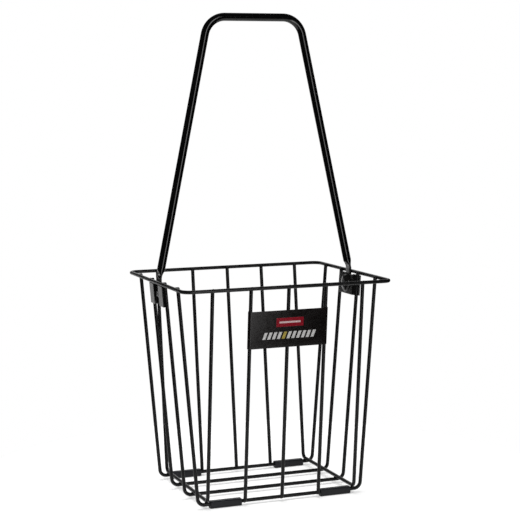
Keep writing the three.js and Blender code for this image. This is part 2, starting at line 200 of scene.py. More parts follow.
# Camera, at the photograph's angle
PHOTO_SIZE = 520
FOCAL_PIXELS = 1484.9
SENSOR = 36
CAMERA_PLACE = Vector((-845.25, -2233.98, 633.91)) * MM
CAMERA_YAW_DEG = 20.871
CAMERA_PITCH_DEG = 6.235
CAMERA_ROLL_DEG = -0.532

# Studio. Azimuth 0 is in front and 90 on the right.
FLOOR_RADIUS = 0.5
FLOOR_SIDES = 96
FLOOR_TONE = 0.6
FLOOR_GLOW = 0.4
FLOOR_ROUGHNESS = 0.9
FLOOR_SPECULAR = 0.1
ROOM_LEVEL = 0.3
WALL_FROM_DEG, WALL_TO_DEG = -158, 144
SIDE_WALL_FROM_DEG = -165
SIDE_WALL_LOW = 0.08
HIGH_WALL_FROM_DEG = -178
HIGH_WALL_LOW = 0.5
WALL_DISTANCE = 3.2
WALL_LOW, WALL_HIGH = -2.0, 4.0
WALL_STEPS = 48
WALL_TONE = 0.02
CEILING_HALF = 3.84
CARD_AZIMUTH_DEG = 5
CARD_DISTANCE = 1.2
CARD_WIDTH = 0.32
CARD_LOW, CARD_HIGH = -0.6, 1.3
CARD_GLOW = 5
LAMP_TARGET = Vector((0, 0, 0.35))
LAMPS = {
    "key_left": {"place": (-2.2, -1.2, 2.2), "width": 1.2, "height": 1.6, "watts": 34},
    "fill_right": {"place": (1.6, -2.2, 1.4), "width": 1.0, "height": 1.4, "watts": 8},
    "top": {"place": (0, 0.4, 2.8), "width": 2.0, "height": 2.0, "watts": 75},
}


def side_x_at(z):
    return FLOOR_HALF_LENGTH + (z - WIRE_Z) * math.tan(SIDE_LEAN)


def front_y_at(z):
    return FRONT_FOOT_Y + (z - WIRE_Z) * math.tan(FRONT_LEAN)


def up_wall(sign):
    """The way up the leaning front wall (sign -1) or back wall (sign 1)."""
    return Vector((0, sign * math.sin(FRONT_LEAN), math.cos(FRONT_LEAN)))


# Mesh helpers


def full_turn(sides):
    """Angles once round, half a step off the axis."""
    return [2 * math.pi * (i + 0.5) / sides for i in range(sides)]


def quarter_turn(steps):
    """Angles from 0 to a right angle."""
    return [math.pi / 2 * k / steps for k in range(steps + 1)]


def put(name, data):
    """A new object in the scene, around a mesh, a lamp or a camera."""
    made = bpy.data.objects.new(name, data)
    bpy.context.scene.collection.objects.link(made)
    return made


def mesh_object(name, verts, faces):
    mesh = bpy.data.meshes.new(name)
    mesh.from_pydata([tuple(v) for v in verts], [], faces)
    mesh.update()
    finish_shading(mesh)
    return put(name, mesh)


def finish_shading(mesh, sharp_deg=SHARP_DEG):
    """Smooth shading, with a crease at each edge sharper than an angle."""
    mesh.shade_smooth()
    mesh.set_sharp_from_angle(angle=math.radians(sharp_deg))


def loft(name, rings, closed=False):
    """A skin over rings with the same number of points, capped at both ends or closed on itself."""
    sides = len(rings[0])
    verts = [point for ring in rings for point in ring]
    faces = []
    for r in range(len(rings) if closed else len(rings) - 1):
        following = (r + 1) % len(rings)
        for i in range(sides):
            j = (i + 1) % sides
            faces.append((r * sides + i, r * sides + j, following * sides + j, following * sides + i))
    if not closed:
        faces.append(tuple(reversed(range(sides))))
        faces.append(tuple(range((len(rings) - 1) * sides, len(rings) * sides)))
    return mesh_object(name, verts, faces)


def bent_path(corners, closed=False):
    """Stations (place, direction) along straight runs with round bends. A corner is (place, bend radius)."""
    stations = []
    last = len(corners) - 1
    for i, (at, bend) in enumerate(corners):
        before = corners[i - 1][0] if i > 0 or closed else None
        after = corners[(i + 1) % len(corners)][0] if i < last or closed else None
        into = (at - before).normalized() if before else None
        out = (after - at).normalized() if after else None
        if not bend:
            stations.append((at, into or out))
            continue
        turn = into.angle(out)
        start = at - into * (bend * math.tan(turn / 2))
        side = (out - into * into.dot(out)).normalized()
        steps = max(2, math.ceil(math.degrees(turn) / BEND_STEP_DEG))
        for k in range(steps + 1):
            angle = turn * k / steps
            point = start + into * (bend * math.sin(angle)) + side * (bend * (1 - math.cos(angle)))
            stations.append((point, into * math.cos(angle) + side * math.sin(angle)))
    return stations


def ring_at(place, along, plane_normal, radius, sides):
    across = plane_normal.cross(along).normalized()
    angles = [2 * math.pi * i / sides for i in range(sides)]
    return [place + across * (radius * math.cos(a)) + plane_normal * (radius * math.sin(a)) for a in angles]


def wire_piece(name, corners, plane_normal):
    """An open wire with its coat: a round section along the path and round ends."""
    stations = bent_path(corners)
    rings = []
    for place, along in stations[1:-1]:
        rings.append(ring_at(place, along, plane_normal, COATED_RADIUS, WIRE_SIDES))
    for at_start in (True, False):
        place, along = stations[0] if at_start else stations[-1]
        outward = -along if at_start else along
        cap = []
        for angle in quarter_turn(END_STEPS):
            center = place - outward * (WIRE_END_ROUND * (1 - math.sin(angle)))
            radius = COATED_RADIUS - WIRE_END_ROUND * (1 - math.cos(angle))
            cap.append(ring_at(center, along, plane_normal, radius, WIRE_SIDES))
        rings = cap[::-1] + rings if at_start else rings + cap
    return loft(name, rings)


def add(piece, node_names, body, material):
    """Gives a piece its finish and the body it rides on, and hides the nodes that it stands for."""
    piece.data.materials.clear()
    piece.data.materials.append(material)
    if node_names:
        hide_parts(*node_names)
    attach(piece, body)


def arc(center, radii, from_deg, to_deg):
    steps = max(2, math.ceil(abs(to_deg - from_deg) / ARC_STEP_DEG))
    points = []
    for i in range(steps + 1):
        angle = math.radians(from_deg + (to_deg - from_deg) * i / steps)
        x = center[0] + radii[0] * math.cos(angle)
        y = center[1] + radii[1] * math.sin(angle)
        points.append(Vector((x, y)))
    return points


def prism(outline, depth, x_way, y_way, z_way, origin):
    """A solid that raises an outline by a depth. The ways are where its X, Y and height run."""
    count = len(outline)
    verts = [origin + x_way * p[0] + y_way * p[1] + z_way * h for h in (0, depth) for p in outline]
    faces = [tuple(reversed(range(count))), tuple(range(count, 2 * count))]
    for i in range(count):
        j = (i + 1) % count
        faces.append((i, j, count + j, count + i))
    return mesh_object("cutter", verts, faces)


def apply_modifiers(piece):
    graph = bpy.context.evaluated_depsgraph_get()
    mesh = bpy.data.meshes.new_from_object(piece.evaluated_get(graph))
    piece.modifiers.clear()
    old = piece.data
    piece.data = mesh
    bpy.data.meshes.remove(old)


def cut(piece, tool, operation="DIFFERENCE"):
    """Cuts a solid by another, which is then removed."""
    modifier = piece.modifiers.new("cut", "BOOLEAN")
    modifier.operation = operation
    modifier.solver = "EXACT"
    modifier.object = tool
    apply_modifiers(piece)
    bpy.data.objects.remove(tool)
    return piece


def pivot_prism(outline, from_x, to_x):
    """A solid whose outline is drawn across and up from the right pivot, between two places along X."""
    return prism(outline, to_x - from_x, Y_AXIS, Z_AXIS, X_AXIS, Vector((from_x, 0, PIVOT_Z)))


def pivot_cylinder(radius, from_x, to_x):
    return pivot_prism(arc((0, 0), (radius, radius), 0, 360)[:-1], from_x, to_x)


# Finishes: linear colours, noise scales per metre

COAT_DARK, COAT_PALE = (0.0045, 0.0045, 0.0048), (0.0085, 0.0085, 0.0088)
COAT_RUBBED = (0.05, 0.05, 0.052)
COAT_SPECULAR = 0.18
RUB_HEIGHT = 30 * MM
RUB_ROUGHNESS = 0.2

PAINT_DARK, PAINT_PALE = (0.0014, 0.0014, 0.0015), (0.0028, 0.0028, 0.003)
PAINT_SPECULAR = 0.38

NYLON_DARK, NYLON_PALE = (0.0045, 0.0045, 0.0046), (0.008, 0.0077, 0.0074)
NYLON_SPECULAR = 0.38

RUBBER_DARK, RUBBER_PALE = (0.0058, 0.006, 0.008), (0.0098, 0.0104, 0.0135)
RUBBER_SOLE = (0.016, 0.016, 0.0165)
RUBBER_SPECULAR = 0.25
SOLE_FROM, SOLE_TO = 0.4 * MM, 1.6 * MM
SOLE_LEAST = 0.2

ZINC_DARK, ZINC_PALE = (0.12, 0.12, 0.125), (0.2, 0.2, 0.205)
ZINC_METALLIC = 0.85

PLATE_DARK, PLATE_PALE = (0.0045, 0.0032, 0.003), (0.008, 0.006, 0.0057)
PLATE_SCRATCH = (0.013, 0.0115, 0.011)
PLATE_SPECULAR = 0.2
PRINT_RED, PRINT_LINE = (0.3, 0.008, 0.02), (0.8, 0.6, 0.6)
PRINT_WHITE, PRINT_YELLOW = (0.8, 0.79, 0.78), (0.5, 0.38, 0.05)
INK_LEAST = 0.86
INK_SMOOTHNESS = 0.04

# Noise between these two values turns from one tone to the other
CLOUD_LOW, CLOUD_HIGH = 0.35, 0.7
GLOSS_LOW, GLOSS_HIGH = 0.3, 0.7


class Shader:
    """A node material around one Principled shader, with short ways to add noise, masks and bumps."""

    def __init__(self, name):
        self.material = bpy.data.materials.new(name)
        self.material.use_nodes = True
        self.nodes = self.material.node_tree.nodes
        self.links = self.material.node_tree.links
        self.shader = self.nodes["Principled BSDF"]
        coordinates = self.nodes.new("ShaderNodeTexCoord")
        self.place = coordinates.outputs["Object"]
        self.bump_output = None

    def set(self, name, value):
        self.shader.inputs[name].default_value = value

    def drive(self, name, output):
        self.links.new(output, self.shader.inputs[name])

    def math(self, operation, a, b=0.0, clamp=False):
        node = self.nodes.new("ShaderNodeMath")
        node.operation = operation
        node.use_clamp = clamp
        for socket, value in zip(node.inputs, (a, b)):
            if isinstance(value, (int, float)):
                socket.default_value = value
            else:
                self.links.new(value, socket)
        return node.outputs[0]

    def both(self, a, b):
        """The part that two masks share."""
        return self.math("MULTIPLY", a, b, clamp=True)

    def stretched(self, scales):
        """Places scaled along X, Y and Z. Noise is drawn out where the scale is small."""
        node = self.nodes.new("ShaderNodeMapping")
        node.inputs["Scale"].default_value = scales
        self.links.new(self.place, node.inputs["Vector"])
        return node.outputs[0]

    def noise(self, scale, detail, place=None):
        node = self.nodes.new("ShaderNodeTexNoise")
        node.inputs["Scale"].default_value = scale
        node.inputs["Detail"].default_value = detail
        self.links.new(place or self.place, node.inputs["Vector"])
        return node.outputs["Fac"]

    def spread(self, value, from_low, from_high, to_low, to_high):
        """Maps one range of values to another and holds it at its ends."""
        node = self.nodes.new("ShaderNodeMapRange")
        self.links.new(value, node.inputs["Value"])
        limits = {"From Min": from_low, "From Max": from_high, "To Min": to_low, "To Max": to_high}
        for socket, limit in limits.items():
            node.inputs[socket].default_value = limit
        return node.outputs["Result"]

    def patches(self, noise, low=CLOUD_LOW, high=CLOUD_HIGH, least=0):
        """A mask in soft patches: the least where the noise is under low, and 1 where it is over high."""
        return self.spread(noise, low, high, least, 1)

    def gloss(self, noise, smoothest, roughest):
        """A roughness that varies softly between two values."""
        return self.spread(noise, GLOSS_LOW, GLOSS_HIGH, smoothest, roughest)

    def mix(self, share, a, b):
        node = self.nodes.new("ShaderNodeMix")
        node.data_type = "RGBA"
        self.links.new(share, node.inputs["Factor"])
        for socket, value in (("A", a), ("B", b)):
            target = next(s for s in node.inputs if s.name == socket and s.type == "RGBA")
            if isinstance(value, tuple):
                target.default_value = (*value, 1)
            else:
                self.links.new(value, target)
        return next(s for s in node.outputs if s.type == "RGBA")

    def bump(self, height, depth, strength):
        node = self.nodes.new("ShaderNodeBump")
        node.inputs["Distance"].default_value = depth
        node.inputs["Strength"].default_value = strength
        self.links.new(height, node.inputs["Height"])
        if self.bump_output:
            self.links.new(self.bump_output, node.inputs["Normal"])
        self.bump_output = node.outputs["Normal"]
        self.drive("Normal", self.bump_output)

    def axis(self, name):
        node = self.nodes.new("ShaderNodeSeparateXYZ")
        self.links.new(self.place, node.inputs[0])
        return node.outputs[name]


def powder_coat():
    """Semi-gloss black powder coat: orange peel, fine pores, cloudy gloss, rubbed a little near the floor."""
    s = Shader("powder_coat")
    base = s.mix(s.patches(s.noise(scale=38, detail=3)), COAT_DARK, COAT_PALE)
    low = s.spread(s.axis("Z"), 0, RUB_HEIGHT, 1, 0)
    worn = s.both(low, s.patches(s.noise(scale=420, detail=4), low=0.62, high=0.72))
    s.drive("Base Color", s.mix(worn, base, COAT_RUBBED))
    s.set("Specular IOR Level", COAT_SPECULAR)
    gloss = s.gloss(s.noise(scale=95, detail=3), smoothest=0.26, roughest=0.38)
    s.drive("Roughness", s.math("ADD", gloss, s.math("MULTIPLY", worn, RUB_ROUGHNESS)))
    s.bump(s.noise(scale=620, detail=2), depth=0.12 * MM, strength=0.3)
    s.bump(s.noise(scale=2600, detail=2), depth=0.03 * MM, strength=0.5)
    return s.material


def gloss_paint():
    """Gloss black paint on the tube: a faint peel, soft scuffs along the tube and a clean clear surface."""
    s = Shader("gloss_paint")
    s.drive("Base Color", s.mix(s.patches(s.noise(scale=22, detail=3)), PAINT_DARK, PAINT_PALE))
    scuffs = s.noise(scale=26, detail=5, place=s.stretched((14, 14, 1)))
    s.set("Specular IOR Level", PAINT_SPECULAR)
    s.drive("Roughness", s.spread(scuffs, from_low=0.35, from_high=0.75, to_low=0.08, to_high=0.16))
    s.bump(s.noise(scale=420, detail=2), depth=0.03 * MM, strength=0.08)
    return s.material


def moulded_nylon():
    """Black nylon: a fine sparked grain and a slightly cloudy gloss."""
    s = Shader("moulded_nylon")
    s.drive("Base Color", s.mix(s.patches(s.noise(scale=70, detail=3)), NYLON_DARK, NYLON_PALE))
    s.set("Specular IOR Level", NYLON_SPECULAR)
    s.drive("Roughness", s.gloss(s.noise(scale=160, detail=3), smoothest=0.15, roughest=0.22))
    s.bump(s.noise(scale=1900, detail=3), depth=0.03 * MM, strength=0.5)
    s.bump(s.noise(scale=240, detail=2), depth=0.05 * MM, strength=0.3)
    return s.material


def charcoal_rubber():
    """Charcoal rubber: matt, finely pitted, with a slightly paler worn sole."""
    s = Shader("charcoal_rubber")
    base = s.mix(s.patches(s.noise(scale=900, detail=3)), RUBBER_DARK, RUBBER_PALE)
    sole = s.spread(s.axis("Z"), SOLE_FROM, SOLE_TO, 1, 0)
    worn = s.both(sole, s.patches(s.noise(scale=120, detail=4), low=0.4, high=0.6, least=SOLE_LEAST))
    s.drive("Base Color", s.mix(worn, base, RUBBER_SOLE))
    s.set("Specular IOR Level", RUBBER_SPECULAR)
    s.drive("Roughness", s.gloss(s.noise(scale=240, detail=3), smoothest=0.42, roughest=0.58))
    s.bump(s.noise(scale=1500, detail=4), depth=0.12 * MM, strength=0.6)
    return s.material


def black_zinc():
    """Black zinc on turned steel: fine rings round the axis, brighter in places."""
    s = Shader("black_zinc")
    s.set("Metallic", ZINC_METALLIC)
    rings = s.noise(scale=60, detail=4, place=s.stretched((60, 4, 4)))
    s.drive("Base Color", s.mix(s.patches(rings, low=0.3), ZINC_DARK, ZINC_PALE))
    s.drive("Roughness", s.gloss(s.noise(scale=300, detail=3), smoothest=0.2, roughest=0.32))
    s.bump(rings, depth=0.04 * MM, strength=0.5)
    return s.material


# Printed stripes on the plate: places across the plate and up from its lower edge
BAR_LEFT, BAR_RIGHT = -20.5 * MM, 24.5 * MM
BAR_LOW, BAR_HIGH = 32.5 * MM, 46.5 * MM
LINE_INSET = 5 * MM
LINE_LOW, LINE_HIGH = 38 * MM, 41 * MM
DASH_LOW, DASH_HIGH = 13.5 * MM, 24.5 * MM
DASH_PITCH = 8 * MM
DASH_SHARE = 0.62
DASH_SLANT_SHARE = 0.36
DASH_FROM, DASH_TO = -48.2 * MM, 39 * MM
YELLOW_FROM, YELLOW_TO = -16.2 * MM, -8.2 * MM
PRINT_EDGE = 0.05 * MM
PRINT_FADE_FROM, PRINT_FADE_TO = 0.1 * MM, 0.3 * MM


def print_masks(s):
    """Masks of the red bar, its pale line, the dashes and the yellow dash, all on the plate's front face."""
    cos_lean, sin_lean = math.cos(FRONT_LEAN), math.sin(FRONT_LEAN)
    across = s.axis("X")
    up = s.math("MULTIPLY", s.math("SUBTRACT", s.axis("Z"), PLATE_BOTTOM_Z), 1 / cos_lean)
    depth_y = s.math("MULTIPLY", s.axis("Y"), cos_lean)
    depth = s.math("ADD", depth_y, s.math("MULTIPLY", s.axis("Z"), sin_lean))
    face_depth = -front_y_at(0) * cos_lean - GRIP_RADIUS - PLATE_THICKNESS
    front = s.spread(depth, face_depth + PRINT_FADE_FROM, face_depth + PRINT_FADE_TO, 1, 0)

    def between(value, low, high):
        above = s.spread(value, low - PRINT_EDGE, low + PRINT_EDGE, 0, 1)
        below = s.spread(value, high - PRINT_EDGE, high + PRINT_EDGE, 1, 0)
        return s.both(above, below)

    slid = s.math("SUBTRACT", across, s.math("MULTIPLY", up, DASH_SLANT_SHARE))
    phase = s.math("FRACT", s.math("MULTIPLY", slid, 1 / DASH_PITCH))
    row = s.both(s.math("LESS_THAN", phase, DASH_SHARE), between(up, DASH_LOW, DASH_HIGH))
    dash = s.both(s.both(row, between(slid, DASH_FROM, DASH_TO)), front)
    yellow = s.both(dash, between(slid, YELLOW_FROM, YELLOW_TO))
    bar = s.both(s.both(between(up, BAR_LOW, BAR_HIGH), between(across, BAR_LEFT, BAR_RIGHT)), front)
    inset = between(across, BAR_LEFT + LINE_INSET, BAR_RIGHT - LINE_INSET)
    line = s.both(s.both(between(up, LINE_LOW, LINE_HIGH), inset), bar)
    return bar, line, dash, yellow


def printed_plate():
    """Satin black sheet with a plain print: a red bar with a pale line, and a row of slanted dashes."""
    s = Shader("printed_plate")
    bar, line, dash, yellow = print_masks(s)
    ground = s.mix(s.patches(s.noise(scale=45, detail=4)), PLATE_DARK, PLATE_PALE)
    long_noise = s.noise(scale=90, detail=5, place=s.stretched((1, 1, 16)))
    color = s.mix(s.patches(long_noise, low=0.66, high=0.74), ground, PLATE_SCRATCH)
    ink_wear = s.patches(s.noise(scale=700, detail=3), low=0.3, high=0.6, least=INK_LEAST)
    inks = ((bar, PRINT_RED), (line, PRINT_LINE), (dash, PRINT_WHITE), (yellow, PRINT_YELLOW))
    for mask, ink_color in inks:
        color = s.mix(s.both(mask, ink_wear), color, ink_color)
    s.drive("Base Color", color)
    ink = s.math("ADD", dash, bar, clamp=True)
    s.set("Specular IOR Level", PLATE_SPECULAR)
    gloss = s.gloss(s.noise(scale=130, detail=3), smoothest=0.18, roughest=0.26)
    s.drive("Roughness", s.math("SUBTRACT", gloss, s.math("MULTIPLY", ink, INK_SMOOTHNESS)))
    s.bump(s.noise(scale=1300, detail=3), depth=0.04 * MM, strength=0.5)
    s.bump(ink, depth=0.04 * MM, strength=0.8)
    return s.material


# Basket


def make_rim(coat):
    corners = []
    for sx, sy in ((1, 1), (-1, 1), (-1, -1), (1, -1)):
        corners.append((Vector((sx * RIM_HALF_LENGTH, sy * RIM_HALF_DEPTH, RIM_Z)), RIM_CORNER_RADIUS))
    stations = bent_path(corners, closed=True)
    rings = [ring_at(place, along, Z_AXIS, COATED_RADIUS, WIRE_SIDES) for place, along in stations]
    add(loft("rim_wire", rings, closed=True), ["top_rim"], "basket", coat)


def make_long_wires(coat):
    top_x = side_x_at(WIRE_TOP_Z)
    for i, y in enumerate(LONG_PLACES):
        corners = [
            (Vector((-top_x, y, WIRE_TOP_Z)), 0),
            (Vector((-FLOOR_HALF_LENGTH, y, WIRE_Z)), LONG_BEND_RADIUS),
            (Vector((FLOOR_HALF_LENGTH, y, WIRE_Z)), LONG_BEND_RADIUS),
            (Vector((top_x, y, WIRE_TOP_Z)), 0),
        ]
        piece = wire_piece(f"long_wire_{i + 1}_skin", corners, Y_AXIS)
        add(piece, [f"long_wire_{i + 1}"], "basket", coat)


def make_cross_wires(coat):
    floor_z = WIRE_Z + WELD_PITCH
    top_z = WIRE_TOP_Z - FRONT_TOP_DROP
    top_y, foot_y = front_y_at(top_z), front_y_at(floor_z)
    for side, x in (("left", -CROSS_REACH), ("right", CROSS_REACH)):
        corners = [
            (Vector((x, -top_y, top_z)), 0),
            (Vector((x, -foot_y, floor_z)), CROSS_BEND_RADIUS),
            (Vector((x, foot_y, floor_z)), CROSS_BEND_RADIUS),
            (Vector((x, top_y, top_z)), 0),
        ]
        piece = wire_piece(f"cross_wire_{side}_skin", corners, X_AXIS)
        add(piece, [f"cross_wire_{side}"], "basket", coat)


def inner_uprights():
    """X of each straight upright, from left to right."""
    inner = UPRIGHT_COUNT - 2
    return [UPRIGHT_PITCH * (i - (inner - 1) / 2) for i in range(inner)]


def make_uprights(coat):
    top_z = WIRE_TOP_Z - FRONT_TOP_DROP
    bottom_z = WIRE_Z - WIRE_RADIUS + UPRIGHT_END_RISE
    for wall, sign in (("front", -1), ("back", 1)):
        for i, x in enumerate(inner_uprights()):
            corners = [
                (Vector((x, sign * front_y_at(top_z), top_z)), 0),
                (Vector((x, sign * front_y_at(bottom_z), bottom_z)), 0),
            ]
            piece = wire_piece(f"{wall}_upright_{i + 1}_skin", corners, X_AXIS)
            add(piece, [f"{wall}_upright_{i + 1}"], "basket", coat)


def weld_places():
    """Where two wires touch: the weld's middle and the directions of both wires."""
    rim, floor, foot = [], [], []
    half_weld = WELD_PITCH / 2
    for x in (-CROSS_REACH, *inner_uprights(), CROSS_REACH):
        for sign in (-1, 1):
            rim.append((Vector((x, sign * (FRONT_TOP_Y + half_weld), RIM_Z)), X_AXIS, up_wall(sign)))
    for y in LONG_PLACES:
        for sign in (-1, 1):
            up = Vector((sign * math.sin(SIDE_LEAN), 0, math.cos(SIDE_LEAN)))
            rim.append((Vector((sign * (SIDE_TOP_X + half_weld), y, RIM_Z)), Y_AXIS, up))
            floor.append((Vector((sign * CROSS_REACH, y, WIRE_Z + half_weld)), X_AXIS, Y_AXIS))
    for x in inner_uprights():
        for sign in (-1, 1):
            foot.append((Vector((x, sign * (LONG_REACH + half_weld), WIRE_Z)), X_AXIS, up_wall(sign)))
    return {"rim_welds": rim, "floor_welds": floor, "foot_welds": foot}


def make_welds(coat):
    """Small uneven beads that fill the crotch between two welded wires."""
    rng = random.Random(SEED)
    for name, places in weld_places().items():
        built = bmesh.new()
        for center, first, second in places:
            depth_way = first.cross(second).normalized()
            across = depth_way.cross(first).normalized()
            turn = Matrix((first, across, depth_way)).transposed().to_4x4()
            size = Matrix.Diagonal((BEAD_REACH, BEAD_REACH, BEAD_DEPTH, 1))
            place = Matrix.Translation(center) @ turn @ size
            made = bmesh.ops.create_icosphere(built, subdivisions=BEAD_SUBDIVISIONS, radius=1, matrix=place)
            offset = Vector([rng.uniform(0, BEAD_NOISE_SPAN) for _ in range(3)])
            for vert in made["verts"]:
                local = place.inverted() @ vert.co
                swell = 1 + BEAD_ROUGHNESS_SHARE * noise.noise(local * BEAD_NOISE_SCALE + offset)
                vert.co = center + (vert.co - center) * swell
        mesh = bpy.data.meshes.new(name)
        built.to_mesh(mesh)
        built.free()
        finish_shading(mesh)
        add(put(name, mesh), [], "basket", coat)


# Feet


def foot_outline(shrink):
    """Points round the foot's rounded square, seen from its bore's middle, drawn in by a length."""
    half = FOOT_HALF - shrink
    radius = FOOT_CORNER_RADIUS
    corner = half - radius
    points = []
    for angle in full_turn(TURNED_SIDES):
        way = Vector((math.cos(angle), math.sin(angle)))
        spot = way * (half / max(abs(way.x), abs(way.y)))
        if abs(spot.x) > corner and abs(spot.y) > corner:
            middle = Vector((math.copysign(corner, spot.x), math.copysign(corner, spot.y)))
            beside = way.dot(middle)
            outside = middle.length_squared - radius * radius
            spot = way * (beside + math.sqrt(max(beside * beside - outside, 0)))
        side_deg = math.degrees(math.atan2(spot.y, abs(spot.x)))
        ridge = max(0, 1 - abs(side_deg) / FOOT_SEAM_HALF_DEG)
        points.append(spot + Vector((math.copysign(FOOT_SEAM * ridge, spot.x), 0)))
    return points


def make_feet(rubber):
    """Rubber sleeves with soft ends and a fine moulding seam along both sides."""
    low, high = foot_low.x, foot_high.x
    half = (high - low) / 2
    angles = full_turn(TURNED_SIDES)
    bore = [Vector((GRIP_RADIUS * math.cos(a), GRIP_RADIUS * math.sin(a) + FOOT_SINK)) for a in angles]
    end_angles = quarter_turn(END_STEPS)
    for end, y_sign in (("front", -1), ("rear", 1)):
        for side, x_sign in (("left", -1), ("right", 1)):
            middle = Vector((x_sign * (low + high) / 2, y_sign * LONG_REACH, FOOT_HALF))

            def ring(points, x, middle=middle):
                return [middle + Vector((x, p.x, p.y)) for p in points]

            rings = []
            for sign in (-1, 1):
                for angle in end_angles if sign < 0 else reversed(end_angles):
                    outline = foot_outline(FOOT_END_ROUND * (1 - math.sin(angle)))
                    rings.append(ring(outline, sign * (half - FOOT_END_ROUND * (1 - math.cos(angle)))))
            rings.append(ring(bore, half))
            rings.append(ring(bore, -half))
            name = f"foot_{end}_{side}"
            sleeve = loft(f"{name}_sleeve", rings, closed=True)
            add(sleeve, [name], "basket", rubber)


# Handle


def tab_section(angle, flat_share, half_width):
    """A point of the handle's section: round at share 0, and flattened to a stadium at share 1."""
    cos, sin = math.cos(angle), math.sin(angle)
    power = 2 / TAB_SQUARENESS
    flat = Vector((
        math.copysign(abs(cos) ** power, cos) * half_width,
        math.copysign(abs(sin) ** power, sin) * TAB_HALF_THICKNESS,
    ))
    return (Vector((cos, sin)) * (TUBE_RADIUS + TUBE_COAT)).lerp(flat, flat_share)


def smooth(low, high, value):
    """From 0 at low to 1 at high, with soft ends."""
    share = min(max((value - low) / (high - low), 0), 1)
    return share * share * (3 - 2 * share)


def handle_stations():
    bend_z = RIM_Z + TAB_BEND_RISE
    slope = (PIVOT_X - HANDLE_TOP_HALF) / (HANDLE_TOP_Z - bend_z)

    def leg_x_at(z):
        return PIVOT_X - (z - bend_z) * slope

    leg = [(Vector((PIVOT_X, 0, PIVOT_Z)), 0), (Vector((PIVOT_X, 0, bend_z)), TAB_BEND_RADIUS)]
    for k in range(ROUND_OUT_STEPS + 1):
        z = FLAT_END_Z + ROUND_OUT_LENGTH * k / ROUND_OUT_STEPS
        leg.append((Vector((leg_x_at(z), 0, z)), 0))
    leg.append((Vector((HANDLE_TOP_HALF, 0, HANDLE_TOP_Z)), HANDLE_BEND_RADIUS))
    other = [(Vector((-at.x, at.y, at.z)), bend) for at, bend in reversed(leg)]
    return bent_path(leg + other)


def make_handle(paint):
    """One bent tube, flattened and rounded off at its ends, with a pivot hole through each tab."""
    angles = full_turn(TUBE_SIDES)

    def section(place, along, flat_share, half_width):
        outward = along.cross(Y_AXIS).normalized()
        points = [tab_section(a, flat_share, half_width) for a in angles]
        return [place + Y_AXIS * p.x + outward * p.y for p in points]

    rings = []
    for place, along in handle_stations():
        flat_share = 1 - smooth(FLAT_END_Z, FLAT_END_Z + ROUND_OUT_LENGTH, place.z)
        rings.append(section(place, along, flat_share, TAB_HALF_WIDTH))
    for at_start in (True, False):
        x = PIVOT_X if at_start else -PIVOT_X
        along = Z_AXIS if at_start else -Z_AXIS
        for angle in quarter_turn(TAB_TIP_STEPS)[1:-1]:
            place = Vector((x, 0, PIVOT_Z - TAB_HALF_WIDTH * math.sin(angle)))
            tip = section(place, along, 1, TAB_HALF_WIDTH * math.cos(angle))
            rings = [tip] + rings if at_start else rings + [tip]
    piece = loft("handle_tube", rings)
    for turn in (Matrix.Identity(4), HALF_TURN):
        drill = pivot_cylinder(TAB_HOLE_RADIUS, PIVOT_X - TUBE_RADIUS, PIVOT_X + TUBE_RADIUS)
        drill.data.transform(turn)
        cut(piece, drill)
    finish_shading(piece.data)
    add(piece, ["carry_handle"], "handle", paint)


# Handle brackets
WALL_UP = Vector((math.sin(SIDE_LEAN), 0, math.cos(SIDE_LEAN)))
WALL_OUT = Vector((math.cos(SIDE_LEAN), 0, -math.sin(SIDE_LEAN)))


def along_wall(drop):
    """The place up the leaning wall, from the rim, of a drop below the rim."""
    return -drop / math.cos(SIDE_LEAN)


def bracket_web():
    """The web between two wall wires with its hooks round their outer sides, drawn outward and across."""
    wire = (0, LONG_PITCH / 2)
    hook_radius = GRIP_RADIUS + HOOK_WALL
    grip = arc(wire, (GRIP_RADIUS, GRIP_RADIUS), HOOK_START_DEG, HOOK_END_DEG)
    hook = arc(wire, (hook_radius, hook_radius), HOOK_END_DEG, 0)
    half = [Vector((-BRACKET_BACK, BRACKET_BACK_HALF))] + grip + hook
    outline = half + [Vector((p.x, -p.y)) for p in reversed(half)]
    bottom = along_wall(BRACKET_BOTTOM_DROP)
    origin = Vector((SIDE_TOP_X, 0, RIM_Z)) + WALL_UP * bottom
    return prism(outline[::-1], along_wall(BRACKET_TOP_DROP) - bottom, WALL_OUT, Y_AXIS, WALL_UP, origin)


def bracket_hub():
    """The round hub. Its inner face is a shallow dome with a rounded edge."""
    crown_x = HUB_INNER_X - HUB_CROWN
    round_middle = HUB_RADIUS - HUB_ROUND
    tilt = math.asin(round_middle / (HUB_DOME_RADIUS - HUB_ROUND))
    profile = []
    for k in range(DOME_STEPS + 1):
        angle = tilt * k / DOME_STEPS
        profile.append((HUB_DOME_RADIUS * math.sin(angle), crown_x + HUB_DOME_RADIUS * (1 - math.cos(angle))))
    round_x = profile[-1][1] + HUB_ROUND * math.cos(tilt)
    for k in range(1, DOME_STEPS + 1):
        angle = tilt + (math.pi / 2 - tilt) * k / DOME_STEPS
        profile.append((round_middle + HUB_ROUND * math.sin(angle), round_x - HUB_ROUND * math.cos(angle)))
    return turned("hub", profile + [(HUB_RADIUS, PIVOT_X)])


def both_sides(right):
    """An outline from the points of its right half."""
    points = [Vector(p) for p in right]
    return points + [Vector((-p.x, p.y)) for p in reversed(points)]


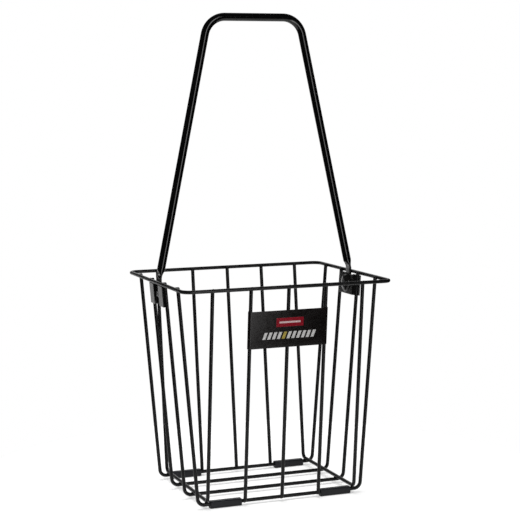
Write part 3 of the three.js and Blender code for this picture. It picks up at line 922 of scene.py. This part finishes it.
def tab_slot():
    """The tab's slot: open below, fanned out above and wider inward at its mouth."""
    reach = TAB_HALF_WIDTH + FIT_GAP
    limit = math.radians(SWING_DEG)
    foot = RIM_Z - PIVOT_Z - BRACKET_BOTTOM_DROP - CUT_OVERRUN
    top = RIM_Z - PIVOT_Z
    mouth_foot = top - BRACKET_TOP_DROP - MOUTH_HEIGHT

    def fan_edge(height):
        return ((reach + height * math.sin(limit)) / math.cos(limit), height)

    slot = both_sides([(reach, foot), (reach, -reach * math.tan(limit / 2)), fan_edge(top)])
    mouth = both_sides([fan_edge(mouth_foot), fan_edge(top)])
    tool = pivot_prism(slot, BOSS_FACE_X, WASHER_INNER_X)
    return cut(tool, pivot_prism(mouth, BOSS_FACE_X - MOUTH_DEPTH, WASHER_INNER_X), "UNION")


def tab_channel():
    half = TAB_HALF_WIDTH + CHANNEL_SIDE_GAP
    foot = RIM_Z - PIVOT_Z - BRACKET_BOTTOM_DROP - CUT_OVERRUN
    outer_x = PIVOT_X + GRIP_RADIUS + HOOK_WALL + CUT_OVERRUN
    return pivot_prism(both_sides([(half, foot), (half, RIM_Z - PIVOT_Z)]), WASHER_INNER_X, outer_x)


def bracket_mesh():
    """The moulding, cut as the real one is, then remeshed and smoothed so that its edges are round."""
    piece = cut(bracket_web(), bracket_hub(), "UNION")
    cavity = pivot_cylinder(HUB_RADIUS - HUB_WALL, HUB_INNER_X + HUB_SKIN, WASHER_INNER_X)
    cut(piece, cut(cavity, pivot_cylinder(BOSS_RADIUS, HUB_INNER_X, BOSS_FACE_X)))
    cut(piece, tab_slot())
    cut(piece, tab_channel())
    inside_x = HUB_INNER_X - CUT_OVERRUN
    cut(piece, pivot_cylinder(RIVET_RADIUS + FIT_GAP, inside_x, BOSS_FACE_X + CUT_OVERRUN))
    cut(piece, pivot_cylinder(RIVET_HEAD_RADIUS + FIT_GAP, inside_x, RIVET_SEAT_X))
    remesh = piece.modifiers.new("remesh", "REMESH")
    remesh.mode = "VOXEL"
    remesh.voxel_size = BRACKET_VOXEL
    soften = piece.modifiers.new("soften", "SMOOTH")
    soften.factor = BRACKET_SMOOTH_SHARE
    soften.iterations = BRACKET_SMOOTH_TURNS
    thin = piece.modifiers.new("thin", "DECIMATE")
    thin.ratio = BRACKET_FACE_SHARE
    apply_modifiers(piece)
    mesh = piece.data.copy()
    bpy.data.objects.remove(piece)
    finish_shading(mesh, BRACKET_SHARP_DEG)
    return mesh


def turned(name, profile):
    """A piece turned round the right pivot. The profile holds (radius, x), from axis to axis."""
    rings = []
    for radius, x in profile:
        rings.append(ring_at(Vector((x, 0, PIVOT_Z)), X_AXIS, Y_AXIS, max(radius, POLE_RADIUS), TURNED_SIDES))
    piece = loft(name, rings)
    mesh = bmesh.new()
    mesh.from_mesh(piece.data)
    bmesh.ops.remove_doubles(mesh, verts=mesh.verts, dist=POLE_MERGE)
    mesh.to_mesh(piece.data)
    mesh.free()
    finish_shading(piece.data)
    return piece


def rounded(radius, x, inward_x, edge):
    """Profile points of a rounded outer edge, from the face at x towards inward_x."""
    way = math.copysign(1, inward_x - x)
    points = []
    for angle in quarter_turn(END_STEPS):
        points.append((radius - edge * (1 - math.sin(angle)), x + way * edge * (1 - math.cos(angle))))
    return points


def rivet_profile():
    seat = RIVET_SEAT_X - FIT_GAP
    crown = seat - RIVET_HEAD_HEIGHT
    rise = RIVET_HEAD_HEIGHT - RIVET_EDGE
    dome = []
    for angle in quarter_turn(DOME_STEPS):
        dome.append((RIVET_HEAD_RADIUS * math.sin(angle), crown + rise * (1 - math.cos(angle))))
    end = TAIL_INNER_X + RIVET_TAIL_HEIGHT
    tail = [(RIVET_RADIUS, TAIL_INNER_X), (RIVET_TAIL_RADIUS - RIVET_EDGE, TAIL_INNER_X)]
    tail += rounded(RIVET_TAIL_RADIUS, end, TAIL_INNER_X, RIVET_EDGE)[::-1]
    dimple_x = end - RIVET_DIMPLE
    dimple = [(RIVET_RADIUS * DIMPLE_OUTER_SHARE, end), (RIVET_RADIUS * DIMPLE_INNER_SHARE, dimple_x)]
    return dome + [(RIVET_HEAD_RADIUS, seat), (RIVET_RADIUS, seat)] + tail + dimple + [(0, dimple_x)]


def washer_piece(name):
    """A flat ring with rounded outer and inner edges."""
    inner = RIVET_RADIUS + FIT_GAP
    outer_x = WASHER_INNER_X + WASHER_THICKNESS
    profile = rounded(WASHER_RADIUS, WASHER_INNER_X, outer_x, WASHER_EDGE)
    profile += rounded(WASHER_RADIUS, outer_x, WASHER_INNER_X, WASHER_EDGE)[::-1]
    profile += [(inner, outer_x), (inner, WASHER_INNER_X)]
    rings = [ring_at(Vector((x, 0, PIVOT_Z)), X_AXIS, Y_AXIS, r, TURNED_SIDES) for r, x in profile]
    return loft(name, rings, closed=True)


def make_pivots(nylon, zinc):
    mesh = bracket_mesh()
    for side, turn in (("right", Matrix.Identity(4)), ("left", HALF_TURN)):
        block = put(f"bracket_{side}_block", mesh.copy())
        rivet = turned(f"rivet_{side}_turned", rivet_profile())
        washer = washer_piece(f"washer_{side}_ring")
        for piece in (block, rivet, washer):
            piece.data.transform(turn)
        add(block, [f"handle_bracket_{side}"], "basket", nylon)
        add(rivet, [f"pivot_rivet_{side}"], "basket", zinc)
        add(washer, [f"pivot_washer_{side}"], "basket", zinc)


# Front plate


def make_plate(printed):
    """A flat sheet whose ends curl round the outer two of the front uprights."""
    outer = GRIP_RADIUS + PLATE_THICKNESS
    wire = (UPRIGHT_PITCH, 0)
    right_end = 90 - PLATE_CURL_DEG
    right = arc(wire, (outer, outer), 90, right_end) + arc(wire, (GRIP_RADIUS, GRIP_RADIUS), right_end, 90)
    left = [Vector((-p.x, p.y)) for p in reversed(right)]
    out = Vector((0, -math.cos(FRONT_LEAN), -math.sin(FRONT_LEAN)))
    origin = Vector((0, -front_y_at(PLATE_BOTTOM_Z), PLATE_BOTTOM_Z))
    piece = prism((left + right)[::-1], PLATE_HEIGHT, -X_AXIS, out, up_wall(-1), origin)
    piece.name = "front_plate_sheet"
    bevel = piece.modifiers.new("edges", "BEVEL")
    bevel.width = PLATE_EDGE
    bevel.segments = PLATE_EDGE_STEPS
    bevel.limit_method = "ANGLE"
    bevel.angle_limit = math.radians(PLATE_EDGE_FROM_DEG)
    apply_modifiers(piece)
    finish_shading(piece.data, PLATE_SHARP_DEG)
    add(piece, ["front_plate"], "basket", printed)


# Stage, light and camera


def white_for_view(tree):
    """1 for camera, glossy and transmission rays, which see the white ground, and 0 for all others."""
    nodes, links = tree.nodes, tree.links
    path = nodes.new("ShaderNodeLightPath")
    seen = path.outputs["Is Camera Ray"]
    for name in ("Is Glossy Ray", "Is Transmission Ray"):
        both = nodes.new("ShaderNodeMath")
        both.operation = "MAXIMUM"
        links.new(seen, both.inputs[0])
        links.new(path.outputs[name], both.inputs[1])
        seen = both.outputs[0]
    return seen


def make_floor():
    points = [(FLOOR_RADIUS * math.cos(a), FLOOR_RADIUS * math.sin(a), 0) for a in full_turn(FLOOR_SIDES)]
    floor = mesh_object("floor", points, [tuple(range(FLOOR_SIDES))])
    material = bpy.data.materials.new("pale_floor")
    material.use_nodes = True
    nodes, links = material.node_tree.nodes, material.node_tree.links
    shader = nodes["Principled BSDF"]
    shader.inputs["Base Color"].default_value = (FLOOR_TONE, FLOOR_TONE, FLOOR_TONE, 1)
    shader.inputs["Roughness"].default_value = FLOOR_ROUGHNESS
    shader.inputs["Specular IOR Level"].default_value = FLOOR_SPECULAR
    shader.inputs["Emission Color"].default_value = (1, 1, 1, 1)
    glow = nodes.new("ShaderNodeMath")
    glow.operation = "MULTIPLY"
    glow.inputs[1].default_value = FLOOR_GLOW
    links.new(white_for_view(material.node_tree), glow.inputs[0])
    links.new(glow.outputs[0], shader.inputs["Emission Strength"])
    floor.data.materials.append(material)


def make_world():
    world = bpy.data.worlds.new("studio")
    bpy.context.scene.world = world
    world.use_nodes = True
    nodes, links = world.node_tree.nodes, world.node_tree.links
    ground = nodes["Background"]
    ground.inputs["Color"].default_value = (1, 1, 1, 1)
    level = nodes.new("ShaderNodeMapRange")
    links.new(white_for_view(world.node_tree), level.inputs["Value"])
    level.inputs["To Min"].default_value = ROOM_LEVEL
    level.inputs["To Max"].default_value = 1
    links.new(level.outputs["Result"], ground.inputs["Strength"])


def make_screen(name, verts, faces, tone, glow=0.0):
    """A screen that only reflections see, as is set round gloss black objects in a studio."""
    screen = mesh_object(name, verts, faces)
    material = bpy.data.materials.new(name)
    material.use_nodes = True
    shader = material.node_tree.nodes["Principled BSDF"]
    shader.inputs["Base Color"].default_value = (tone, tone, tone, 1)
    shader.inputs["Roughness"].default_value = 1
    shader.inputs["Emission Color"].default_value = (1, 1, 1, 1)
    shader.inputs["Emission Strength"].default_value = glow
    screen.data.materials.append(material)
    screen.visible_camera = False
    screen.visible_diffuse = False
    screen.visible_shadow = False
    screen.visible_transmission = False


def way_to(azimuth_deg):
    angle = math.radians(azimuth_deg)
    return Vector((math.sin(angle), -math.cos(angle), 0))


def make_dark_wall(name, from_deg, to_deg, low):
    verts, faces = [], []
    for i in range(WALL_STEPS + 1):
        spot = way_to(from_deg + (to_deg - from_deg) * i / WALL_STEPS) * WALL_DISTANCE
        verts += [spot + Z_AXIS * low, spot + Z_AXIS * WALL_HIGH]
    for i in range(WALL_STEPS):
        faces.append((2 * i, 2 * i + 2, 2 * i + 3, 2 * i + 1))
    make_screen(name, verts, faces, WALL_TONE)


def make_dark_room():
    """A dark wall all round but for the white ground behind, higher up beside it, and a dark ceiling."""
    make_dark_wall("dark_wall", WALL_FROM_DEG, WALL_TO_DEG, WALL_LOW)
    make_dark_wall("dark_wall_side", SIDE_WALL_FROM_DEG, WALL_FROM_DEG, SIDE_WALL_LOW)
    make_dark_wall("dark_wall_high", HIGH_WALL_FROM_DEG, SIDE_WALL_FROM_DEG, HIGH_WALL_LOW)
    corners = []
    for sx, sy in ((-1, -1), (1, -1), (1, 1), (-1, 1)):
        corners.append(Vector((sx * CEILING_HALF, sy * CEILING_HALF, WALL_HIGH)))
    make_screen("dark_ceiling", corners, [(0, 1, 2, 3)], WALL_TONE)


def make_card():
    """A white upright card that gives the gloss tube its narrow line of light."""
    spot = way_to(CARD_AZIMUTH_DEG) * CARD_DISTANCE
    across = way_to(CARD_AZIMUTH_DEG + 90) * (CARD_WIDTH / 2)
    verts = [spot - across + Z_AXIS * CARD_LOW, spot + across + Z_AXIS * CARD_LOW]
    verts += [spot + across + Z_AXIS * CARD_HIGH, spot - across + Z_AXIS * CARD_HIGH]
    make_screen("white_card", verts, [(0, 1, 2, 3)], 0, CARD_GLOW)


def make_lamp(name, place, width, height, watts):
    """A soft lamp that lights surfaces but shows in none of them."""
    data = bpy.data.lights.new(name, "AREA")
    data.shape = "RECTANGLE"
    data.size, data.size_y = width, height
    data.energy = watts
    lamp = put(name, data)
    lamp.location = place
    lamp.rotation_mode = "QUATERNION"
    lamp.rotation_quaternion = (LAMP_TARGET - Vector(place)).to_track_quat("-Z", "Y")
    lamp.visible_camera = False
    lamp.visible_glossy = False


def make_camera():
    yaw, pitch, roll = (math.radians(v) for v in (CAMERA_YAW_DEG, CAMERA_PITCH_DEG, CAMERA_ROLL_DEG))
    forward = Vector((math.sin(yaw) * math.cos(pitch), math.cos(yaw) * math.cos(pitch), -math.sin(pitch)))
    level_right = Vector((math.cos(yaw), -math.sin(yaw), 0))
    level_up = level_right.cross(forward)
    right = level_right * math.cos(roll) + level_up * math.sin(roll)
    up = level_up * math.cos(roll) - level_right * math.sin(roll)
    data = bpy.data.cameras.new("camera")
    data.sensor_width = SENSOR
    data.lens = SENSOR * FOCAL_PIXELS / PHOTO_SIZE
    camera = put("camera", data)
    turn = Matrix((right, up, -forward)).transposed().to_4x4()
    camera.matrix_world = Matrix.Translation(CAMERA_PLACE) @ turn
    bpy.context.scene.camera = camera


def make_studio():
    make_floor()
    make_world()
    make_dark_room()
    make_card()
    for name, setting in LAMPS.items():
        make_lamp(name, **setting)
    bpy.context.scene.view_settings.view_transform = "Standard"


make_camera()
make_studio()
coat = powder_coat()
make_rim(coat)
make_long_wires(coat)
make_cross_wires(coat)
make_uprights(coat)
make_welds(coat)
make_feet(charcoal_rubber())
make_handle(gloss_paint())
make_pivots(moulded_nylon(), black_zinc())
make_plate(printed_plate())
